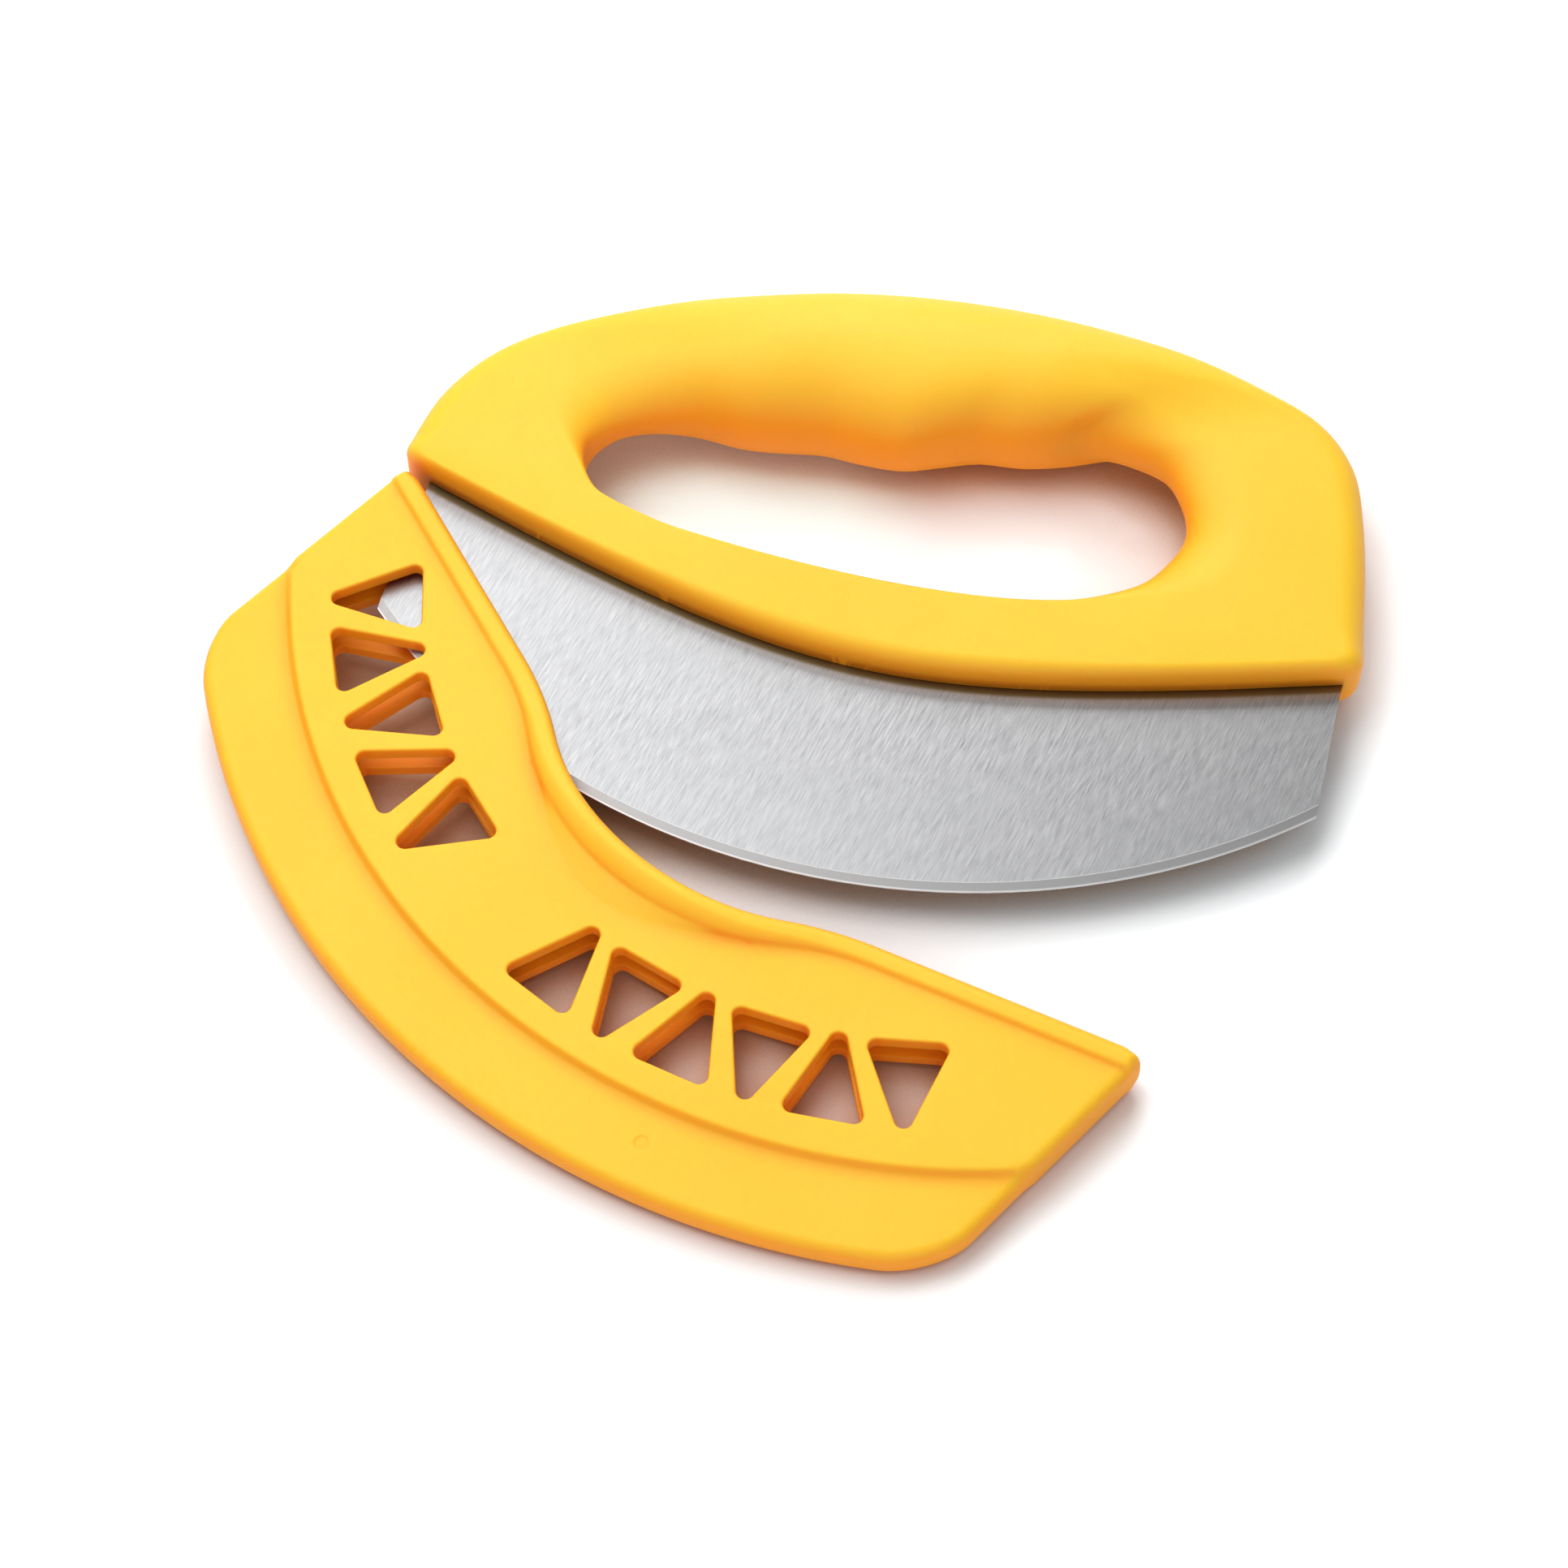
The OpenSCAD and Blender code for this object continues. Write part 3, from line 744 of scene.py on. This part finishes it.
def keep_largest(obj):
    """Drops the slivers that a cut leaves loose."""
    bm = bmesh.new()
    bm.from_mesh(obj.data)
    left, parts = set(bm.verts), []
    while left:
        part, edge = set(), [left.pop()]
        while edge:
            v = edge.pop()
            part.add(v)
            near = {e.other_vert(v) for e in v.link_edges} & left
            left -= near
            edge += near
        parts.append(part)
    parts.sort(key=len)
    for part in parts[:-1]:
        bmesh.ops.delete(bm, geom=list(part), context="VERTS")
    bm.to_mesh(obj.data)
    bm.free()


def hollow(obj, cores):
    """Takes the room of the cores, each with its clearance, out of a piece."""
    made = []
    for core, room in cores:
        mesh = core.data.copy()
        bm = bmesh.new()
        bm.from_mesh(mesh)
        bmesh.ops.transform(bm, matrix=core.matrix_world, verts=bm.verts)
        bmesh.ops.remove_doubles(bm, verts=bm.verts, dist=0.0005 * MM)
        bm.normal_update()
        grown = [v.co + v.normal * v.calc_shell_factor() * room * MM for v in bm.verts]
        for v, at in zip(bm.verts, grown):
            v.co = at
        bm.to_mesh(mesh)
        bm.free()
        cutter = bpy.data.objects.new("core_room", mesh)
        bpy.context.scene.collection.objects.link(cutter)
        cut = obj.modifiers.new("room", "BOOLEAN")
        cut.operation = "DIFFERENCE"
        cut.solver = "MANIFOLD"
        cut.object = cutter
        made.append(cutter)
    seen = obj.evaluated_get(bpy.context.evaluated_depsgraph_get())
    obj.data = bpy.data.meshes.new_from_object(seen)
    obj.modifiers.clear()
    keep_largest(obj)
    for cutter in made:
        bpy.data.meshes.remove(cutter.data)


handle = build_handle()
hollow(handle, [(frame["nodes"]["handle_core"], 0), (frame["nodes"]["blade"], SLOT_ROOM)])
handle.data.set_sharp_from_angle(angle=math.radians(50))
cover = build_cover()
crisp(cover, 40)


# Materials

# How far recesses, creases and the floor look for something that shades them, in metres
SKY_REACH = 0.06
CREASE_REACH = 0.0028
FLOOR_REACH = 0.02
# Where the painted shadow and reflection under the handle's lip fades out on the blade, in metres
# below the lip
LIP_SHADOW_BAND = (0.0011, 0.0017)
# Where the painted tint and glow of the floor in the grip's loop fade into the open floor, in
# metres from the loop's middle
LOOP_FLOOR = (0.040, 0.056)


def srgb(r, g, b):
    def linear(c):
        c /= 255
        return c / 12.92 if c <= 0.04045 else ((c + 0.055) / 1.055) ** 2.4
    return (linear(r), linear(g), linear(b), 1)


class Nodes:
    """A short way to write node trees."""

    def __init__(self, name):
        self.material = bpy.data.materials.new(name)
        self.material.use_nodes = True
        self.tree = self.material.node_tree
        self.tree.nodes.clear()
        self.out = self.add("ShaderNodeOutputMaterial")

    def add(self, kind, inputs=None, **settings):
        node = self.tree.nodes.new(kind)
        for key, value in settings.items():
            setattr(node, key, value)
        for key, value in (inputs or {}).items():
            if isinstance(value, bpy.types.NodeSocket):
                self.tree.links.new(value, node.inputs[key])
            else:
                node.inputs[key].default_value = value
        return node

    def noise(self, vector, scale, detail=3.0, rough=0.55):
        node = self.add("ShaderNodeTexNoise", {"Vector": vector, "Scale": scale, "Detail": detail,
                                               "Roughness": rough})
        return node.outputs["Fac"]

    def ramp(self, value, low, high, to_low, to_high):
        node = self.add("ShaderNodeMapRange", {"Value": value, "From Min": low, "From Max": high,
                                               "To Min": to_low, "To Max": to_high})
        return node.outputs["Result"]

    def blend(self, factor, a, b):
        node = self.add("ShaderNodeMix", data_type="RGBA")
        for key, value in (("Factor", factor), ("A", a), ("B", b)):
            socket = [s for s in node.inputs if s.name == key and s.enabled][0]
            if isinstance(value, bpy.types.NodeSocket):
                self.tree.links.new(value, socket)
            else:
                socket.default_value = value
        return [s for s in node.outputs if s.enabled][0]


def plastic(name, light, deep, shaded, crease_shade, roughness):
    """Satin moulded plastic with faint flow marks, a fine mould texture and painted shade, orange
    in recesses and deeper in creases.
    """
    n = Nodes(name)
    where = n.add("ShaderNodeTexCoord").outputs["Object"]
    clouds = n.noise(where, 28, 2)
    colour = n.blend(n.ramp(clouds, 0.35, 0.65, 0, 1), light, deep)
    open_sky = n.add("ShaderNodeAmbientOcclusion", {"Distance": SKY_REACH}, samples=8)
    creases = n.add("ShaderNodeAmbientOcclusion", {"Distance": CREASE_REACH}, samples=6)
    # Painted shade: the colour turns orange where the plastic sees little open sky, in recesses and
    # under the grip
    colour = n.blend(n.ramp(open_sky.outputs["AO"], 0.72, 0.99, 0, 1), shaded, colour)
    # Painted shade: a deeper orange in narrow creases
    colour = n.blend(n.ramp(creases.outputs["AO"], 0.68, 0.95, 0, 1), crease_shade, colour)
    grain = n.noise(where, 5200, 2)
    flow = n.noise(where, 90, 3)
    rough = n.ramp(flow, 0.3, 0.7, roughness - 0.03, roughness + 0.03)
    bump = n.add("ShaderNodeBump", {"Height": grain, "Strength": 0.10, "Distance": 0.00004})
    soft = n.add("ShaderNodeBump", {"Height": flow, "Strength": 0.06, "Distance": 0.0003,
                                    "Normal": bump.outputs["Normal"]})
    shader = n.add("ShaderNodeBsdfPrincipled", {
        "Base Color": colour, "Roughness": rough, "Normal": soft.outputs["Normal"], "IOR": 1.42,
        "Subsurface Weight": 0.5, "Subsurface Radius": (1.0, 0.35, 0.1),
        "Subsurface Scale": 0.003,
    })
    n.tree.links.new(shader.outputs["BSDF"], n.out.inputs["Surface"])
    return n.material


def below_lip(n, where):
    """Distance below the handle's lip, in metres, as nodes."""
    def along_axis(v):
        axis = lay_direction(v)
        start = axis.dot(Vector(lay([[HANDLE_MID + LIP_SHIFT, -LIP_DROP, 0]])[0]))
        reach = n.add("ShaderNodeVectorMath", {0: where, 1: tuple(axis)}, operation="DOT_PRODUCT")
        return n.add("ShaderNodeMath", {0: reach.outputs["Value"], 1: start},
                     operation="SUBTRACT").outputs[0]

    def step(a, b, operation):
        return n.add("ShaderNodeMath", {0: a, 1: b}, operation=operation).outputs[0]

    x, y = along_axis((1, 0, 0)), along_axis((0, 1, 0))
    bend = step(step(x, x, "MULTIPLY"), (LIP_BEND * MM) ** 2, "ADD")
    bend = step(step(bend, 0.5, "POWER"), LIP_BEND * MM, "SUBTRACT")
    return step(step(bend, LIP_SLOPE, "MULTIPLY"), y, "SUBTRACT")


def brushed_steel(name):
    """Stainless sheet brushed from the lip to the edge, with a ground bevel along the edge, a
    painted shadow and reflection under the lip and a painted highlight on the cutting edge.
    """
    n = Nodes(name)
    where = n.add("ShaderNodeTexCoord").outputs["Object"]
    middle = tuple(lay([[0, EDGE_R - BLADE_DROP, 0]])[0])
    from_middle = n.add("ShaderNodeVectorMath", {0: where, 1: middle},
                        operation="DISTANCE").outputs["Value"]
    grain_turn = math.radians(GRIP_YAW + BRUSH_LEAN)
    turned_to = n.add("ShaderNodeMapping", {"Vector": where, "Rotation": (0, 0, grain_turn)},
                      vector_type="POINT").outputs["Vector"]
    streak_space = n.add("ShaderNodeMapping", {"Vector": turned_to, "Scale": (1, 0.06, 0.2)})
    streaks = n.noise(streak_space.outputs["Vector"], 5200, 2, 0.6)
    wide_space = n.add("ShaderNodeMapping", {"Vector": turned_to, "Scale": (1, 0.06, 0.2)})
    wide = n.noise(wide_space.outputs["Vector"], 1300, 3, 0.6)
    patches = n.noise(where, 22, 2)
    bevel_at = (EDGE_R - BEVEL_W) * MM
    highlight_at = (EDGE_R - EDGE_HIGHLIGHT_W) * MM
    ground = n.ramp(from_middle, bevel_at - 0.0002, bevel_at, 0, 1)
    shade = n.blend(n.ramp(streaks, 0.3, 0.7, 0, 1), srgb(131, 132, 133), srgb(167, 167, 168))
    shade = n.blend(n.ramp(wide, 0.35, 0.65, 0, 0.3), shade, srgb(146, 146, 147))
    shade = n.blend(n.ramp(patches, 0.3, 0.7, 0, 0.35), shade, srgb(152, 153, 154))
    shade = n.blend(ground, shade, srgb(178, 178, 178))
    # Painted highlight: a light line along the cutting edge, where it catches the light
    cut = n.ramp(from_middle, highlight_at - 0.0001, highlight_at, 0, 1)
    shade = n.blend(cut, shade, srgb(220, 220, 220))
    # Painted shadow and reflection: a dark olive band on the blade just under the handle's lip
    shade = n.blend(n.ramp(below_lip(n, where), *LIP_SHADOW_BAND, 0, 1), srgb(118, 114, 84), shade)
    fine = n.ramp(streaks, 0.3, 0.7, 0.30, 0.37)
    rough = n.add("ShaderNodeMath", {0: ground, 1: 0.2, 2: fine}, operation="MULTIPLY_ADD")
    bump = n.add("ShaderNodeBump", {"Height": streaks, "Strength": 0.12, "Distance": 0.00001})
    shader = n.add("ShaderNodeBsdfPrincipled", {
        "Base Color": shade, "Metallic": 1.0, "Roughness": rough.outputs[0],
        "Normal": bump.outputs["Normal"],
    })
    n.tree.links.new(shader.outputs["BSDF"], n.out.inputs["Surface"])
    return n.material


def paint(obj, material):
    obj.data.materials.clear()
    obj.data.materials.append(material)


# The last two colours of each plastic are painted shade: orange for recesses and a deeper orange
# for creases
yellow = plastic("satin_yellow_plastic", srgb(255, 200, 42), srgb(254, 196, 36),
                 srgb(255, 160, 14), srgb(246, 138, 6), 0.55)
core_plastic = plastic("inner_shot_plastic", srgb(240, 190, 70), srgb(232, 180, 60),
                       srgb(230, 160, 40), srgb(214, 140, 30), 0.5)
steel = brushed_steel("brushed_stainless_steel")
paint(handle, yellow)
paint(cover, yellow)
paint(frame["nodes"]["handle_core"], core_plastic)
paint(frame["nodes"]["blade"], steel)


# Floor, light and camera

def floor():
    """A white floor that keeps the object's shadow and a little of its warm reflected light, with
    painted shade: warm brown close under the object, and in the grip's loop a cyan tint and faint
    glow that make the shadow lighter and less pink.
    """
    size = 3.0
    mesh = bpy.data.meshes.new("floor")
    corners = [(-size, -size, 0), (size, -size, 0), (size, size, 0), (-size, size, 0)]
    mesh.from_pydata(corners, [], [(0, 1, 2, 3)])
    obj = bpy.data.objects.new("floor", mesh)
    bpy.context.scene.collection.objects.link(obj)
    n = Nodes("white_floor")
    rays = n.add("ShaderNodeLightPath").outputs
    seen = n.add("ShaderNodeMath", {0: rays["Is Camera Ray"], 1: rays["Is Glossy Ray"]},
                 operation="MAXIMUM").outputs[0]
    seen = n.add("ShaderNodeMath", {0: seen, 1: rays["Is Transmission Ray"]},
                 operation="MAXIMUM").outputs[0]
    plain = n.add("ShaderNodeBsdfDiffuse", {"Color": (0.93, 0.93, 0.93, 1)})
    where = n.add("ShaderNodeTexCoord").outputs["Object"]
    away = n.add("ShaderNodeVectorMath", {0: where}, operation="LENGTH").outputs["Value"]
    strength = n.ramp(away, 0.2, 1.5, 0.34, 1)
    # The white glow fades where the object shades the floor, so the shadow stays
    sky = n.add("ShaderNodeAmbientOcclusion", {"Distance": FLOOR_REACH}, samples=8).outputs["AO"]
    strength = n.add("ShaderNodeMath", {0: strength, 1: n.ramp(sky, 0.72, 0.95, 0, 1)},
                     operation="MULTIPLY").outputs[0]
    hole_middle = tuple(lay([[HANDLE_MID + HOLE_X, HOLE_Y + HOLE_H / 2, 0]])[0])
    from_hole = n.add("ShaderNodeVectorMath", {0: where, 1: hole_middle},
                      operation="DISTANCE").outputs["Value"]
    in_hole = n.ramp(from_hole, *LOOP_FLOOR, 1, 0)
    # Painted shade: in the grip's loop the floor is tinted cyan and, below, given a faint glow, so
    # the shadow there reads lighter and less pink
    open_floor = n.blend(in_hole, (0.90, 0.92, 0.93, 1), (0.84, 1, 1, 1))
    # Painted shadow: a warm brown where the object shades the floor closely
    shadow = n.blend(n.ramp(sky, 0.25, 0.5, 0, 1), (0.50, 0.33, 0.21, 1), open_floor)
    cool = n.add("ShaderNodeBsdfDiffuse", {"Color": shadow})
    loop_glow = n.blend(in_hole, (0, 0, 0, 1), (0.08, 0.085, 0.075, 1))
    glow = n.add("ShaderNodeEmission", {"Color": (1, 1, 1, 1), "Strength": strength})
    faint = n.add("ShaderNodeEmission", {"Color": loop_glow, "Strength": 1.0})
    both = n.add("ShaderNodeAddShader", {0: cool.outputs[0], 1: glow.outputs[0]})
    both = n.add("ShaderNodeAddShader", {0: both.outputs[0], 1: faint.outputs[0]})
    mixed = n.add("ShaderNodeMixShader", {0: seen, 1: plain.outputs[0], 2: both.outputs[0]})
    n.tree.links.new(mixed.outputs[0], n.out.inputs["Surface"])
    mesh.materials.append(n.material)
    return obj


def world():
    """White to the camera, and soft grey light for the object, brighter near the horizon."""
    made = bpy.data.worlds.new("studio")
    bpy.context.scene.world = made
    made.use_nodes = True
    tree = made.node_tree
    tree.nodes.clear()
    out = tree.nodes.new("ShaderNodeOutputWorld")
    rays = tree.nodes.new("ShaderNodeLightPath")
    seen = tree.nodes.new("ShaderNodeMath")
    seen.operation = "MAXIMUM"
    tree.links.new(rays.outputs["Is Camera Ray"], seen.inputs[0])
    tree.links.new(rays.outputs["Is Transmission Ray"], seen.inputs[1])
    fill = tree.nodes.new("ShaderNodeBackground")
    fill.inputs["Color"].default_value = (1, 1, 1, 1)
    where = tree.nodes.new("ShaderNodeTexCoord")
    parts = tree.nodes.new("ShaderNodeSeparateXYZ")
    tree.links.new(where.outputs["Generated"], parts.inputs[0])
    walls = tree.nodes.new("ShaderNodeMapRange")
    levels = {"From Min": 0.25, "From Max": 0.65, "To Min": 0.7, "To Max": 0.28}
    for key, value in levels.items():
        walls.inputs[key].default_value = value
    tree.links.new(parts.outputs["Z"], walls.inputs["Value"])
    level = tree.nodes.new("ShaderNodeMix")
    tree.links.new(rays.outputs["Is Diffuse Ray"], level.inputs[0])
    tree.links.new(walls.outputs["Result"], level.inputs[2])
    level.inputs[3].default_value = 0.36
    tree.links.new(level.outputs[0], fill.inputs["Strength"])
    white = tree.nodes.new("ShaderNodeBackground")
    white.inputs["Color"].default_value = (1, 1, 1, 1)
    mixed = tree.nodes.new("ShaderNodeMixShader")
    tree.links.new(seen.outputs[0], mixed.inputs[0])
    tree.links.new(fill.outputs[0], mixed.inputs[1])
    tree.links.new(white.outputs[0], mixed.inputs[2])
    tree.links.new(mixed.outputs[0], out.inputs["Surface"])


def lamp(name, at, size, power):
    """A square soft lamp that looks at the middle of the scene."""
    data = bpy.data.lights.new(name, "AREA")
    data.shape = "SQUARE"
    data.size = size
    data.energy = power
    obj = bpy.data.objects.new(name, data)
    obj.location = at
    obj.rotation_mode = "QUATERNION"
    obj.rotation_quaternion = (-Vector(at)).to_track_quat("-Z", "Y")
    bpy.context.scene.collection.objects.link(obj)


# The camera's lens and, in the drawing, its place, its target and the direction of its right side
LENS = 86.57
CAMERA_AT = (72.955, -331.46, 484.24)
CAMERA_TARGET = (-4.732, -39.023, 0)
CAMERA_RIGHT = (0.96648, 0.25675, 0)


def camera():
    """The photograph's view: 58 degrees down on the plane of the blade, from 571 mm away."""
    data = bpy.data.cameras.new("camera")
    data.sensor_width = 36
    data.lens = LENS
    data.clip_start, data.clip_end = 0.05, 20
    obj = bpy.data.objects.new("camera", data)
    bpy.context.scene.collection.objects.link(obj)
    at = Vector(lay([CAMERA_AT])[0])
    target = Vector(lay([CAMERA_TARGET])[0])
    right = lay_direction(CAMERA_RIGHT)
    back = (at - target).normalized()
    up = back.cross(right).normalized()
    obj.matrix_world = Matrix((
        (right.x, up.x, back.x, at.x), (right.y, up.y, back.y, at.y),
        (right.z, up.z, back.z, at.z), (0, 0, 0, 1),
    ))
    bpy.context.scene.camera = obj


floor()
world()
lamp("key", (-0.287, 0.134, 0.680), 0.6, 3.6)
lamp("back", (-0.055, 0.628, 0.493), 0.4, 2.9)
lamp("fill", (0.2, -0.8, 0.5), 0.9, 2.4)
camera()

bpy.context.scene.view_settings.view_transform = "Standard"
